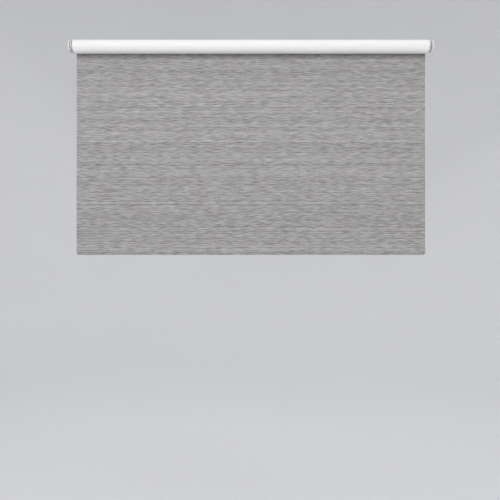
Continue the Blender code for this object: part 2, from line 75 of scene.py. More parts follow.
MM = 0.001
ROLL_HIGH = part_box("fabric_roll")[1]
HEM_LOW, HEM_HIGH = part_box("hem_pocket")
BAR_LOW, BAR_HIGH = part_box("weight_bar")
ROLL_R = ROLL_HIGH.z
CLOTH_HALF = ROLL_HIGH.x
HEM_Y = (HEM_LOW.y + HEM_HIGH.y) / 2


def linear(hex_colour):
    """An sRGB hex value as linear red, green and blue."""
    channels = [int(hex_colour[i:i + 2], 16) / 255 for i in (0, 2, 4)]
    return tuple(c / 12.92 if c <= 0.04045 else ((c + 0.055) / 1.055) ** 2.4 for c in channels)


# Settings

class BlindClothSettings(PropertyGroup):
    thickness: FloatProperty(
        name="Thickness", description="Cloth with its coating", default=0.42 * MM, unit="LENGTH"
    )
    bow: FloatProperty(
        name="Bow", description="How far the hanging cloth bends out of flat",
        default=1.2 * MM, unit="LENGTH",
    )
    slub_length: FloatProperty(
        name="Slub length", description="Length of a thick place in the weft",
        default=26 * MM, unit="LENGTH",
    )
    pick: FloatProperty(
        name="Pick spacing", description="From one weft yarn to the next",
        default=1.3 * MM, unit="LENGTH",
    )
    warp: FloatProperty(
        name="Warp spacing", description="From one warp yarn to the next",
        default=1.0 * MM, unit="LENGTH",
    )
    dark: FloatVectorProperty(
        name="Dark yarn", description="Darkest tone of the weave", subtype="COLOR",
        default=linear("6a6968"),
    )
    light: FloatVectorProperty(
        name="Light yarn", description="Lightest tone of the weave", subtype="COLOR",
        default=linear("cecccb"),
    )
    coating: FloatVectorProperty(
        name="Coating", description="White coating on the cloth's back", subtype="COLOR",
        default=linear("f2f2f1"),
    )


class BlindRollSettings(PropertyGroup):
    turns: FloatProperty(
        name="Turns", description="Turns of cloth under the outermost one", default=5.6667
    )
    air: FloatProperty(
        name="Air", description="Gap between one turn and the next", default=0.03 * MM,
        unit="LENGTH",
    )


class BlindHemSettings(PropertyGroup):
    corner: FloatProperty(
        name="Corner radius", description="Rounding of the hem's bottom corners",
        default=7 * MM, unit="LENGTH",
    )
    stitch_pitch: FloatProperty(
        name="Stitch pitch", description="From one stitch to the next", default=3.2 * MM,
        unit="LENGTH",
    )
    stitch_length: FloatProperty(
        name="Stitch length", description="Length of thread that shows", default=2.5 * MM,
        unit="LENGTH",
    )


class BlindFittingSettings(PropertyGroup):
    edge_radius: FloatProperty(
        name="Edge radius", description="Rounding of moulded and pressed edges",
        default=0.15 * MM, unit="LENGTH",
    )
    cover_fillet: FloatProperty(
        name="Cover fillet", description="Rounding of the bracket covers' outer edge",
        default=1.2 * MM, unit="LENGTH",
    )
    lift_spring_turns: IntProperty(
        name="Lift spring turns", description="Coils in the lift spring", default=140
    )
    pin_spring_turns: IntProperty(
        name="Pin spring turns", description="Coils in the idle pin's spring", default=8
    )
    plastic: FloatVectorProperty(
        name="Moulded plastic", description="Colour of the covers, caps and plugs",
        subtype="COLOR", default=linear("dededc"),
    )


class BlindStageSettings(PropertyGroup):
    camera_distance: FloatProperty(
        name="Camera distance", description="From the roller's axis", default=1.6369,
        unit="LENGTH",
    )
    camera_height: FloatProperty(
        name="Camera height", description="Above the roller's axis", default=-0.6619,
        unit="LENGTH",
    )
    lens: FloatProperty(
        name="Lens", description="Focal length in millimetres on a 36 mm sensor", default=35.57
    )
    floor_height: FloatProperty(
        name="Floor height", description="Below the fully lowered hem", default=-1.78,
        unit="LENGTH",
    )
    backdrop: FloatVectorProperty(
        name="Backdrop", description="Colour of the floor and backdrop", subtype="COLOR",
        default=linear("f2f2f3"),
    )


# Node trees

def add_node(tree, kind, inputs=None, **settings):
    """A node with its settings; an input is a value, or a socket to link it to."""
    node = tree.nodes.new(kind)
    for key, value in settings.items():
        setattr(node, key, value)
    for key, value in (inputs or {}).items():
        if isinstance(value, bpy.types.NodeSocket):
            tree.links.new(value, node.inputs[key])
        else:
            node.inputs[key].default_value = value
    return node


def new_material(name, **constants):
    """A material whose shader's constant inputs are set on its own sockets."""
    made = bpy.data.materials.new(name)
    made.use_nodes = True
    tree = made.node_tree
    shader = tree.nodes["Principled BSDF"]
    for key, value in constants.items():
        shader.inputs[key.replace("_", " ")].default_value = value
    return made, tree, shader


def object_place(tree, scale):
    """Object coordinates divided by a real size in metres along each axis."""
    place = add_node(tree, "ShaderNodeTexCoord")
    return add_node(
        tree,
        "ShaderNodeMapping",
        {"Vector": place.outputs["Object"], "Scale": [1 / size for size in scale]},
    ).outputs["Vector"]


def noise(tree, scale, detail=1.0, roughness=0.5, vector=None):
    """Noise whose cells have a real size in metres."""
    if vector is None:
        vector = object_place(tree, scale)
    return add_node(
        tree,
        "ShaderNodeTexNoise",
        {"Vector": vector, "Scale": 1.0, "Detail": detail, "Roughness": roughness},
    ).outputs["Fac"]


def math_of(tree, operation, first, second):
    """A Math node's result for two values or sockets."""
    return add_node(
        tree, "ShaderNodeMath", {0: first, 1: second}, operation=operation
    ).outputs[0]


def tones(tree, factor, stops):
    """A ramp from (position, linear colour) stops."""
    ramp = add_node(tree, "ShaderNodeValToRGB", {"Fac": factor})
    elements = ramp.color_ramp.elements
    while len(elements) < len(stops):
        elements.new(0.5)
    for element, (position, colour) in zip(elements, stops):
        element.position = position
        element.color = (*colour, 1)
    return ramp.outputs["Color"]


def raise_surface(tree, shader, height, depth, strength=1.0):
    """Bump whose full height is depth metres."""
    bump = add_node(
        tree, "ShaderNodeBump", {"Height": height, "Distance": depth, "Strength": strength}
    )
    tree.links.new(bump.outputs["Normal"], shader.inputs["Normal"])


def scaled_colour(colour, factor):
    """A linear colour made lighter or darker, never above 1."""
    return tuple(min(1.0, channel * factor) for channel in colour)


# Finishes

# The fold attribute carries painted light on the hem's top fold and painted shade in its lower seam.
FOLD_PAINTED_LIGHT_AND_SHADE = "fold_painted_light_and_shade"    # vertex attribute of the cloth: 1 on its paler fold, -1 in its seam


def woven_slub_polyester(cloth):
    """Polyester woven with uneven weft yarn: each level yarn has its own light and dark places."""
    made, tree, shader = new_material(
        "Polyester, woven slub", Roughness=0.92, Specular_IOR_Level=0.25, Sheen_Weight=0.08,
        Sheen_Roughness=0.6,
    )

    def share_of(value, amount):
        return math_of(tree, "MULTIPLY", math_of(tree, "SUBTRACT", value, 0.5), amount)

    # The weft wanders up and down by a millimetre or two over a few centimetres.
    place = add_node(tree, "ShaderNodeTexCoord")
    axes = add_node(tree, "ShaderNodeSeparateXYZ", {"Vector": place.outputs["Object"]})
    drift = share_of(noise(tree, (34 * MM, 34 * MM, 22 * MM)), 6.5 * MM)
    height = math_of(tree, "ADD", axes.outputs["Z"], drift)
    # The picks are about 0.5 mm apart on the real cloth; they are drawn nearly three times as coarse.
    pick_place = math_of(tree, "DIVIDE", height, cloth.pick)
    pick = math_of(tree, "FLOOR", pick_place, 0.0)
    across = math_of(tree, "SUBTRACT", pick_place, pick)

    def along_pick(length, apart, detail):
        point = add_node(tree, "ShaderNodeCombineXYZ", {
            "X": math_of(tree, "DIVIDE", axes.outputs["X"], length),
            "Y": math_of(tree, "MULTIPLY", pick, apart),
        })
        return noise(tree, None, detail, 0.5, point.outputs["Vector"])

    slubs = along_pick(cloth.slub_length, 7.31, 0.5)
    flecks = along_pick(cloth.slub_length / 6, 3.77, 0.5)
    lots = add_node(
        tree, "ShaderNodeTexWhiteNoise", {"W": pick}, noise_dimensions="1D"
    ).outputs["Value"]
    mixed = math_of(tree, "ADD", share_of(slubs, 0.96), share_of(lots, 0.25))
    mixed = math_of(tree, "ADD", mixed, share_of(flecks, 0.35))
    mixed = math_of(tree, "ADD", mixed, 0.5)
    middle = [(a + b) / 2 for a, b in zip(cloth.dark, cloth.light)]
    yarn = tones(tree, mixed, ((0.15, cloth.dark), (0.5, middle), (0.85, cloth.light)))

    # Each weft yarn is round, and the warp crosses over every second one.
    from_middle = math_of(tree, "SUBTRACT", math_of(tree, "MULTIPLY", across, 2.0), 1.0)
    crown = math_of(tree, "SUBTRACT", 1.0, math_of(tree, "MULTIPLY", from_middle, from_middle))
    warp_turn = math_of(tree, "MULTIPLY", axes.outputs["X"], pi / cloth.warp)
    warp_turn = math_of(tree, "ADD", warp_turn, math_of(tree, "MULTIPLY", pick, pi))
    over = math_of(tree, "SINE", warp_turn, 0.0)
    crossing = add_node(
        tree, "ShaderNodeMapRange", {"Value": over, "From Min": 0.55, "From Max": 1.0}
    ).outputs["Result"]
    crossing = math_of(tree, "MULTIPLY", crossing, crown)
    # Painted shade: the colour is darkened in the gaps between the round weft yarns.
    painted_gap_shade = tones(tree, crown, ((0.0, (0.55,) * 3), (0.5, (1.0,) * 3)))
    shaded = add_node(
        tree, "ShaderNodeMix", {"Factor": 1.0, "A": yarn, "B": painted_gap_shade},
        data_type="RGBA", blend_type="MULTIPLY",
    ).outputs["Result"]
    warped = add_node(
        tree, "ShaderNodeMix",
        {"Factor": math_of(tree, "MULTIPLY", crossing, 0.5), "A": shaded, "B": (*middle, 1)},
        data_type="RGBA",
    ).outputs["Result"]
    # Dye lots differ a little, so some patches are warmer and some greener.
    lot_tint = tones(tree, noise(tree, (48 * MM, 48 * MM, 14 * MM), 1.0), (
        (0.32, linear("fbfffd")), (0.50, linear("ffffff")), (0.68, linear("fffbfa")),
    ))
    tinted = add_node(
        tree, "ShaderNodeMix", {"Factor": 1.0, "A": warped, "B": lot_tint},
        data_type="RGBA", blend_type="MULTIPLY",
    )
    # Painted light along the hem's top fold, and painted shade in its lower seam.
    fold = add_node(tree, "ShaderNodeAttribute", attribute_name=FOLD_PAINTED_LIGHT_AND_SHADE).outputs["Fac"]
    fold_painted_colour = add_node(
        tree, "ShaderNodeVectorMath",
        {
            0: tinted.outputs["Result"],
            "Scale": math_of(tree, "ADD", 1.0, math_of(tree, "MULTIPLY", fold, 0.2)),
        },
        operation="SCALE",
    )
    tree.links.new(fold_painted_colour.outputs["Vector"], shader.inputs["Base Color"])
    thick = math_of(tree, "MULTIPLY", crown, math_of(tree, "ADD", mixed, 0.4))
    relief = math_of(tree, "ADD", thick, math_of(tree, "MULTIPLY", crossing, 0.6))
    raise_surface(tree, shader, relief, 0.16 * MM)
    return made


def knife_spread_coating(cloth):
    """Acrylic foam spread on the cloth's back: an even, faintly satin white skin."""
    made, tree, shader = new_material(
        "Acrylic foam, knife-spread coating", Roughness=0.5, Specular_IOR_Level=0.4
    )
    mottle = noise(tree, (60 * MM, 9 * MM, 9 * MM), 2.0)
    colour = tones(tree, mottle, (
        (0.3, scaled_colour(cloth.coating, 0.97)), (0.7, scaled_colour(cloth.coating, 1.01)),
    ))
    tree.links.new(colour, shader.inputs["Base Color"])
    # The weave prints through the coating as a fine level grain.
    grain = noise(tree, (6 * MM, 1.4 * MM, 1.4 * MM), 2.0)
    raise_surface(tree, shader, grain, 0.05 * MM)
    return made


def crush_cut_edge(cloth):
    """Crush-cut edge: pale compressed fibres with a grey core."""
    made, tree, shader = new_material("Polyester, crush-cut edge", Roughness=0.9)
    fibres = noise(tree, (0.5 * MM, 0.4 * MM, 0.4 * MM), 2.0)
    light = scaled_colour(cloth.coating, 0.8)
    colour = tones(tree, fibres, ((0.35, cloth.light), (0.65, light)))
    tree.links.new(colour, shader.inputs["Base Color"])
    raise_surface(tree, shader, fibres, 0.05 * MM)
    return made


def moulded_plastic(name, colour, roughness, ior):
    """Injection-moulded plastic: satin from a spark-eroded tool, with faint flow marks."""
    made, tree, shader = new_material(name, IOR=ior)
    flow = noise(tree, (14 * MM, 9 * MM, 9 * MM), 2.0)
    shade = tones(tree, flow, (
        (0.3, scaled_colour(colour, 0.965)), (0.7, scaled_colour(colour, 1.02)),
    ))
    tree.links.new(shade, shader.inputs["Base Color"])
    gloss = tones(tree, flow, ((0.3, (roughness - 0.05,) * 3), (0.7, (roughness + 0.06,) * 3)))
    tree.links.new(gloss, shader.inputs["Roughness"])
    raise_surface(tree, shader, noise(tree, (0.5 * MM,) * 3, 2.0), 0.012 * MM)
    return made


def worked_metal(name, colour, roughness, grain, depth):
    """Bare metal with drawing or turning lines; grain is the lines' size along X, Y and Z."""
    made, tree, shader = new_material(name, Metallic=1.0)
    lines = noise(tree, grain, 3.0, 0.6)
    shade = tones(tree, lines, (
        (0.3, scaled_colour(colour, 0.86)), (0.7, scaled_colour(colour, 1.06)),
    ))
    tree.links.new(shade, shader.inputs["Base Color"])
    gloss = tones(tree, lines, ((0.3, (roughness - 0.07,) * 3), (0.7, (roughness + 0.08,) * 3)))
    tree.links.new(gloss, shader.inputs["Roughness"])
    raise_surface(tree, shader, lines, depth)
    return made


def powder_coated_steel():
    """Polyester powder coat: warm white with a shallow orange peel."""
    made, tree, shader = new_material("Steel, powder coated", IOR=1.5)
    peel = noise(tree, (1.3 * MM,) * 3, 1.0)
    colour = tones(tree, peel, ((0.3, linear("e8e8e5")), (0.7, linear("ecece9"))))
    tree.links.new(colour, shader.inputs["Base Color"])
    gloss = tones(tree, peel, ((0.3, (0.36,) * 3), (0.7, (0.46,) * 3)))
    tree.links.new(gloss, shader.inputs["Roughness"])
    raise_surface(tree, shader, peel, 0.012 * MM)
    return made


def spun_thread(cloth):
    """Polyester sewing thread that matches the cloth's light yarn."""
    made, tree, shader = new_material("Polyester, spun thread", Roughness=0.75)
    twist = noise(tree, (0.35 * MM, 0.2 * MM, 0.2 * MM), 1.0)
    thread = scaled_colour(cloth.light, 0.95)
    colour = tones(tree, twist, ((0.3, scaled_colour(thread, 0.8)), (0.7, thread)))
    tree.links.new(colour, shader.inputs["Base Color"])
    raise_surface(tree, shader, twist, 0.04 * MM)
    return made


FINISHES = {}


def finishes():
    """Every finish by name, made once."""
    if FINISHES:
        return FINISHES
    scene = bpy.context.scene
    cloth, fittings = scene.blind_cloth, scene.blind_fittings
    plastic = tuple(fittings.plastic)
    FINISHES.update(
        woven=woven_slub_polyester(cloth),
        coating=knife_spread_coating(cloth),
        cut_edge=crush_cut_edge(cloth),
        thread=spun_thread(cloth),
        abs=moulded_plastic("ABS, injection moulded", plastic, 0.38, 1.54),
        nylon=moulded_plastic("Nylon 6, injection moulded", linear("c6c5c0"), 0.5, 1.53),
        pvc=moulded_plastic("PVC, extruded strip", linear("d9d9d3"), 0.34, 1.53),
        zinc=worked_metal(
            "Steel, zinc plated", linear("b9bcc1"), 0.34, (0.5 * MM, 3 * MM, 3 * MM), 0.01 * MM
        ),
        spring=worked_metal(
            "Spring steel, drawn and oiled", linear("6a6b6e"), 0.32,
            (0.6 * MM, 0.6 * MM, 0.6 * MM), 0.006 * MM,
        ),
        aluminium=worked_metal(
            "Aluminium, extruded", linear("cbccce"), 0.36, (90 * MM, 0.5 * MM, 0.5 * MM),
            0.01 * MM,
        ),
        powder=powder_coated_steel(),
    )
    return FINISHES


# Meshes

def add_piece(name, mesh, materials):
    """A named object with the mesh and its finishes, in slot order."""
    mesh.name = name
    for finish in materials:
        mesh.materials.append(finishes()[finish])
    made = bpy.data.objects.new(name, mesh)
    bpy.context.scene.collection.objects.link(made)
    return made


def closed_mesh(bm, smooth=35):
    """A mesh with its doubles merged, faces out, and edges sharper than smooth degrees kept."""
    bmesh.ops.remove_doubles(bm, verts=bm.verts, dist=1e-7)
    bmesh.ops.recalc_face_normals(bm, faces=bm.faces)
    mesh = bpy.data.meshes.new("mesh")
    bm.to_mesh(mesh)
    bm.free()
    mesh.shade_smooth()
    mesh.set_sharp_from_angle(angle=radians(smooth))
    return mesh


def evaluated(obj):
    """The object's mesh with its modifiers applied; the modifiers are removed."""
    bpy.context.view_layer.update()
    graph = bpy.context.evaluated_depsgraph_get()
    mesh = bpy.data.meshes.new_from_object(obj.evaluated_get(graph))
    obj.modifiers.clear()
    return mesh


def turned(profile, steps, bored):
    """A profile of (x, radius) points turned about the X axis."""
    bm = bmesh.new()
    verts = [bm.verts.new((x, radius, 0)) for x, radius in profile]
    edges = [bm.edges.new(pair) for pair in zip(verts, verts[1:])]
    if bored:
        edges.append(bm.edges.new((verts[-1], verts[0])))
    bmesh.ops.spin(
        bm, geom=verts + edges, cent=(0, 0, 0), axis=(1, 0, 0), angle=tau, steps=steps
    )
    return closed_mesh(bm)


def box_mesh(low, high):
    """A closed box between two corners."""
    bm = bmesh.new()
    bmesh.ops.create_cube(bm, size=1)
    low, high = Vector(low), Vector(high)
    middle = Matrix.Translation((low + high) / 2)
    bmesh.ops.transform(bm, matrix=middle @ Matrix.Diagonal((*(high - low), 1)), verts=bm.verts)
    return closed_mesh(bm)


def change_shape(obj, mesh, operation):
    """Cut the mesh from the object or join it on."""
    tool = bpy.data.objects.new("tool", mesh)
    bpy.context.scene.collection.objects.link(tool)
    step = obj.modifiers.new("shape", "BOOLEAN")
    step.operation = operation
    step.object = tool
    shaped = evaluated(obj)
    bpy.data.objects.remove(tool)
    obj.data = shaped


def soften_edges(obj, width, segments=2):
    """Round the edges that turn by more than 35 degrees."""
    step = obj.modifiers.new("edges", "BEVEL")
    step.width = width
    step.segments = segments
    step.limit_method = "ANGLE"
    step.angle_limit = radians(35)
    step.harden_normals = False
    mesh = evaluated(obj)
    mesh.shade_smooth()
    mesh.set_sharp_from_angle(angle=radians(50))
    obj.data = mesh


def loft(sections):
    """A closed solid through outlines of (x, y, z) points with equal counts."""
    bm = bmesh.new()
    loops = [[bm.verts.new(point) for point in outline] for outline in sections]
    count = len(loops[0])
    for here, there in zip(loops, loops[1:]):
        for i in range(count):
            j = (i + 1) % count
            bm.faces.new((here[i], here[j], there[j], there[i]))
    bm.faces.new(loops[0])
    bm.faces.new(loops[-1])
    return closed_mesh(bm)


# Cloth

def ease(share):
    """Smooth step from 0 to 1."""
    share = min(1.0, max(0.0, share))
    return share * share * (3 - 2 * share)


# Shares of the sleeve's height, measured down from its top seam
BAR_TOP, BAR_BOTTOM = 0.15, 0.62
LOWER_SEAM = 0.67
SLEEVE_BOTTOM = 0.955


def sleeve_half(share, thick):
    """Half of the sleeve's thickness, to its middle line: full round the bar, thin in the lip."""
    widest = (HEM_HIGH.y - HEM_LOW.y - thick) / 2
    pinched = 0.62 * thick
    lip = 1.25 * thick
    if share < 0.4:
        return widest * ease(share / 0.2)
    if share < LOWER_SEAM:
        return pinched + (widest - pinched) * (1 - ease((share - 0.5) / (LOWER_SEAM - 0.5)))
    return pinched + (lip - pinched) * ease((share - LOWER_SEAM) / 0.14)


def sleeve_z(share):
    """Height of a place on the sleeve, given as a share of it."""
    return HEM_HIGH.z + (HEM_LOW.z - HEM_HIGH.z) * share


# The outermost turn ends in the nip behind the roll, just short of where the cloth leaves it.
WRAP_ANGLE = radians(346)
WRAP_STEPS, HANG_STEPS, SLEEVE_STEPS, FOLD_STEPS = 84, 100, 36, 10
TAB_HEIGHT = 3.5 * MM     # the cut end that stands up behind the top seam
TAB_LEAN = 0.2 * MM

COLUMNS = 72              # across the cloth between its corners
CORNER_COLUMNS = 6

WAVE_HEIGHT = 0.22 * MM   # shallow waves of the hanging cloth
CURL_HEIGHT = 0.7 * MM    # side edges that curl back
CURL_REACH = 14 * MM


def cloth_path(cloth, air):
    """The cloth's middle line as (y, z): round the roll once, down, and round the hem's bar."""
    thick = cloth.thickness
    top_y = ROLL_R - thick / 2
    points = []
    for i in range(WRAP_STEPS):
        turn = WRAP_ANGLE * (1 - i / WRAP_STEPS)
        points.append((top_y * cos(turn), top_y * sin(turn)))

    seam_z = HEM_HIGH.z
    for i in range(HANG_STEPS + 1):
        share = i / HANG_STEPS
        y = top_y + (HEM_Y - top_y) * ease(share) + cloth.bow * sin(tau * share) * ease(share * 6)
        points.append((y, seam_z * share))

    shares = [SLEEVE_BOTTOM * i / SLEEVE_STEPS for i in range(1, SLEEVE_STEPS)]
    points += [(HEM_Y - sleeve_half(share, thick), sleeve_z(share)) for share in shares]
    fold_r = sleeve_half(SLEEVE_BOTTOM, thick)
    fold_z = HEM_LOW.z + thick / 2 + fold_r
    for i in range(FOLD_STEPS + 1):
        turn = pi + pi * i / FOLD_STEPS
        points.append((HEM_Y + fold_r * cos(turn), fold_z + fold_r * sin(turn)))
    behind = thick + air
    for share in reversed(shares):
        half = sleeve_half(share, thick)
        near_top = behind * (1 - ease(share / 0.2))
        points.append((HEM_Y + half + near_top, sleeve_z(share)))
    for share in (0.0, 0.5, 1.0):
        points.append((HEM_Y + behind + TAB_LEAN * share, HEM_HIGH.z + TAB_HEIGHT * share))
    return points


def column_places(corner):
    """Places across the cloth: even in the middle, and closer at the rounded corners."""
    inner = CLOTH_HALF - corner
    turns = [pi / 2 * i / CORNER_COLUMNS for i in range(1, CORNER_COLUMNS + 1)]
    edge = [inner + corner * sin(turn) for turn in turns]
    middle = [-inner + 2 * inner * i / COLUMNS for i in range(COLUMNS + 1)]
    return [-x for x in reversed(edge)] + middle + edge


def ripple(x, z):
    """How far the hanging cloth stands off its path: shallow waves, and side edges that curl."""
    share = z / HEM_HIGH.z
    if not 0 < share < 1:
        return 0.0
    fade = sin(pi * share)
    waves = sin(x * 9.1 + 4 * share) + 0.6 * sin(x * 17.3 - 5 * share + 1.1)
    curl = exp((abs(x) - CLOTH_HALF) / CURL_REACH)
    return fade * (WAVE_HEIGHT * waves + CURL_HEIGHT * curl)


def corner_rise(x, corner):
    """How far the hem's bottom edge has risen at x, so that its corners are round."""
    past = min(1.0, max(0.0, (abs(x) - (CLOTH_HALF - corner)) / corner))
    return corner * (1 - sqrt(1 - past * past))


def corner_lift(x, z, corner):
    """How far a point of the sleeve rises with its rounded bottom corner."""
    depth = (HEM_HIGH.z - z) / (HEM_HIGH.z - HEM_LOW.z)
    return corner_rise(x, corner) * ease((depth - 0.2) / 0.75)


def fold_painted_light_and_shade(z):
    """Painted light along the hem's top fold and painted shade along its lower seam, each about 3 mm
    high.
    """
    spread = 1.4 * MM
    top = (z - HEM_HIGH.z + 0.9 * MM) / spread    # the paler line is just under the top seam
    seam = (z - sleeve_z(LOWER_SEAM)) / spread
    return exp(-top * top) - exp(-seam * seam)


def cloth_shell(path, thickness, corner):
    """A closed sheet along the path: slot 0 is its woven face, 1 its coating, 2 its cut edges."""
    columns = column_places(corner)
    last = len(path) - 1
    bm = bmesh.new()
    tone = bm.verts.layers.float.new(FOLD_PAINTED_LIGHT_AND_SHADE)
    faces = {0: [], 1: []}
    for i, (y, z) in enumerate(path):
        ahead, behind = path[min(i + 1, last)], path[max(i - 1, 0)]
        along = Vector((ahead[0] - behind[0], ahead[1] - behind[1])).normalized()
        towards_room = Vector((along.y, -along.x))
        for side, reach in ((0, thickness / 2), (1, -thickness / 2)):
            row = []
            hanging = WRAP_STEPS < i <= WRAP_STEPS + HANG_STEPS
            for x in columns:
                off = ripple(x, z) if hanging else 0.0
                up = corner_lift(x, z, corner) if not hanging else 0.0
                vert = bm.verts.new(
                    (x, y + towards_room.x * reach + off, z + towards_room.y * reach + up)
                )
                # Painted light and shade of the hem's fold and seam, kept on each vertex.
                vert[tone] = fold_painted_light_and_shade(z)
                row.append(vert)
            faces[side].append(row)
    front, back = faces[0], faces[1]
    width = len(columns)
    for i in range(last):
        for j in range(width - 1):
            bm.faces.new((front[i][j], front[i][j + 1], front[i + 1][j + 1], front[i + 1][j]))
            face = bm.faces.new((back[i][j], back[i + 1][j], back[i + 1][j + 1], back[i][j + 1]))
            face.material_index = 1
        for j, turn in ((0, 1), (width - 1, -1)):
            quad = (front[i][j], front[i + 1][j], back[i + 1][j], back[i][j])[::turn]
            bm.faces.new(quad).material_index = 2
    for i, turn in ((0, -1), (last, 1)):
        for j in range(width - 1):
            quad = (front[i][j], front[i][j + 1], back[i][j + 1], back[i][j])[::turn]
            bm.faces.new(quad).material_index = 2
    bmesh.ops.recalc_face_normals(bm, faces=bm.faces)
    mesh = bpy.data.meshes.new("cloth")
    bm.to_mesh(mesh)
    bm.free()
    mesh.shade_smooth()
    mesh.set_sharp_from_angle(angle=radians(60))
    return mesh


class BLIND_OT_cloth(Operator):
    """Make the cloth from the roll's outermost turn down to its hem"""

    bl_idname = "blind.cloth"
    bl_label = "Cloth"

    def execute(self, context):
        scene = context.scene
        cloth = scene.blind_cloth
        path = cloth_path(cloth, scene.blind_roll.air)
        mesh = cloth_shell(path, cloth.thickness, scene.blind_hem.corner)
        sheet = add_piece("blind_cloth", mesh, ("woven", "coating", "cut_edge"))
        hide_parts("fabric_drop", "hem_pocket")
        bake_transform(sheet)
        steps = zip(path, path[1:])
        length = sum(sqrt((b[0] - a[0]) ** 2 + (b[1] - a[1]) ** 2) for a, b in steps)
        return {"FINISHED"}


# Geometry Nodes

def new_tree(name, sockets):
    """A geometry tree with named inputs, given as (name, socket type)."""
    tree = bpy.data.node_groups.new(name, "GeometryNodeTree")
    tree.interface.new_socket("Geometry", in_out="OUTPUT", socket_type="NodeSocketGeometry")
    for label, kind in sockets:
        tree.interface.new_socket(label, in_out="INPUT", socket_type=kind)
    return tree, tree.nodes.new("NodeGroupInput").outputs


def end_tree(tree, geometry, material):
    """Realize the instances, set the material and give it out."""
    real = add_node(tree, "GeometryNodeRealizeInstances", {"Geometry": geometry})
    smooth = add_node(
        tree, "GeometryNodeSetShadeSmooth", {"Geometry": real.outputs["Geometry"]}
    )
    finished = add_node(
        tree, "GeometryNodeSetMaterial",
        {"Geometry": smooth.outputs["Geometry"], "Material": material},
    )
    add_node(tree, "NodeGroupOutput", {"Geometry": finished.outputs["Geometry"]})


def grown(name, tree, values):
    """A plain mesh piece from a geometry tree and its inputs by name."""
    host = bpy.data.objects.new(name, bpy.data.meshes.new(name))
    bpy.context.scene.collection.objects.link(host)
    step = host.modifiers.new("shape", "NODES")
    step.node_group = tree
    for item in tree.interface.items_tree:
        if item.in_out == "INPUT" and item.name in values:
            step[item.identifier] = values[item.name]
    host.data = evaluated(host)
    host.data.name = name
    if not host.data.polygons:
        raise RuntimeError(name + " came out empty")
    return host


FLOAT, INT, VECTOR, MATERIAL = (
    "NodeSocketFloat", "NodeSocketInt", "NodeSocketVector", "NodeSocketMaterial"
)


def wound_wire_tree():
    """A helical spring of round wire along the X axis."""
    tree, given = new_tree("Wound wire", (
        ("Turns", FLOAT), ("Radius", FLOAT), ("Length", FLOAT), ("Wire radius", FLOAT),
        ("Start", VECTOR), ("Steps", INT), ("Sides", INT), ("Material", MATERIAL),
    ))
    helix = add_node(tree, "GeometryNodeCurveSpiral", {
        "Resolution": given["Steps"], "Rotations": given["Turns"],
        "Start Radius": given["Radius"], "End Radius": given["Radius"],
        "Height": given["Length"],
    })
    wire = add_node(tree, "GeometryNodeCurvePrimitiveCircle", {
        "Resolution": given["Sides"], "Radius": given["Wire radius"],
    })
    swept = add_node(tree, "GeometryNodeCurveToMesh", {
        "Curve": helix.outputs["Curve"], "Profile Curve": wire.outputs["Curve"],
        "Fill Caps": True,
    })
    laid = add_node(tree, "GeometryNodeTransform", {
        "Geometry": swept.outputs["Mesh"], "Rotation": (0, pi / 2, 0),
        "Translation": given["Start"],
    })
    end_tree(tree, laid.outputs["Geometry"], given["Material"])
    return tree


def wound_cloth_tree():
    """Turns of cloth round the tube, as one long strip wound in a spiral."""
    tree, given = new_tree("Wound cloth", (
        ("Turns", FLOAT), ("Inner radius", FLOAT), ("Outer radius", FLOAT),
        ("Thickness", FLOAT), ("Width", FLOAT), ("Start angle", VECTOR), ("Steps", INT),
        ("Material", MATERIAL),
    ))
    spiral = add_node(tree, "GeometryNodeCurveSpiral", {
        "Resolution": given["Steps"], "Rotations": given["Turns"],
        "Start Radius": given["Inner radius"], "End Radius": given["Outer radius"],
        "Height": 0.0,
    })
    upright = add_node(tree, "GeometryNodeSetCurveNormal", {"Curve": spiral.outputs["Curve"]})
    upright.mode = "Z_UP"
    strip = add_node(tree, "GeometryNodeCurvePrimitiveQuadrilateral", {
        "Width": given["Thickness"], "Height": given["Width"],
    })
    swept = add_node(tree, "GeometryNodeCurveToMesh", {
        "Curve": upright.outputs["Curve"], "Profile Curve": strip.outputs["Curve"],
        "Fill Caps": True,
    })
    started = add_node(tree, "GeometryNodeTransform", {
        "Geometry": swept.outputs["Mesh"], "Rotation": given["Start angle"],
    })
    laid = add_node(tree, "GeometryNodeTransform", {
        "Geometry": started.outputs["Geometry"], "Rotation": (0, -pi / 2, 0),
    })
    end_tree(tree, laid.outputs["Geometry"], given["Material"])
    return tree


def stitch_line_tree():
    """A level line of short rounded stitches."""
    tree, given = new_tree("Stitch line", (
        ("Count", INT), ("Start", VECTOR), ("Pitch", VECTOR), ("Stitch size", VECTOR),
        ("Material", MATERIAL),
    ))
    line = add_node(tree, "GeometryNodeMeshLine", {
        "Count": given["Count"], "Start Location": given["Start"], "Offset": given["Pitch"],
    })
    stitch = add_node(tree, "GeometryNodeMeshUVSphere", {
        "Segments": 8, "Rings": 5, "Radius": 0.5,
    })
    placed = add_node(tree, "GeometryNodeInstanceOnPoints", {
        "Points": line.outputs["Mesh"], "Instance": stitch.outputs["Mesh"],
        "Scale": given["Stitch size"],
    })
    end_tree(tree, placed.outputs["Instances"], given["Material"])
    return tree


GROOVE_ANGLE = radians(230)    # where the tube's groove holds the cloth's top edge


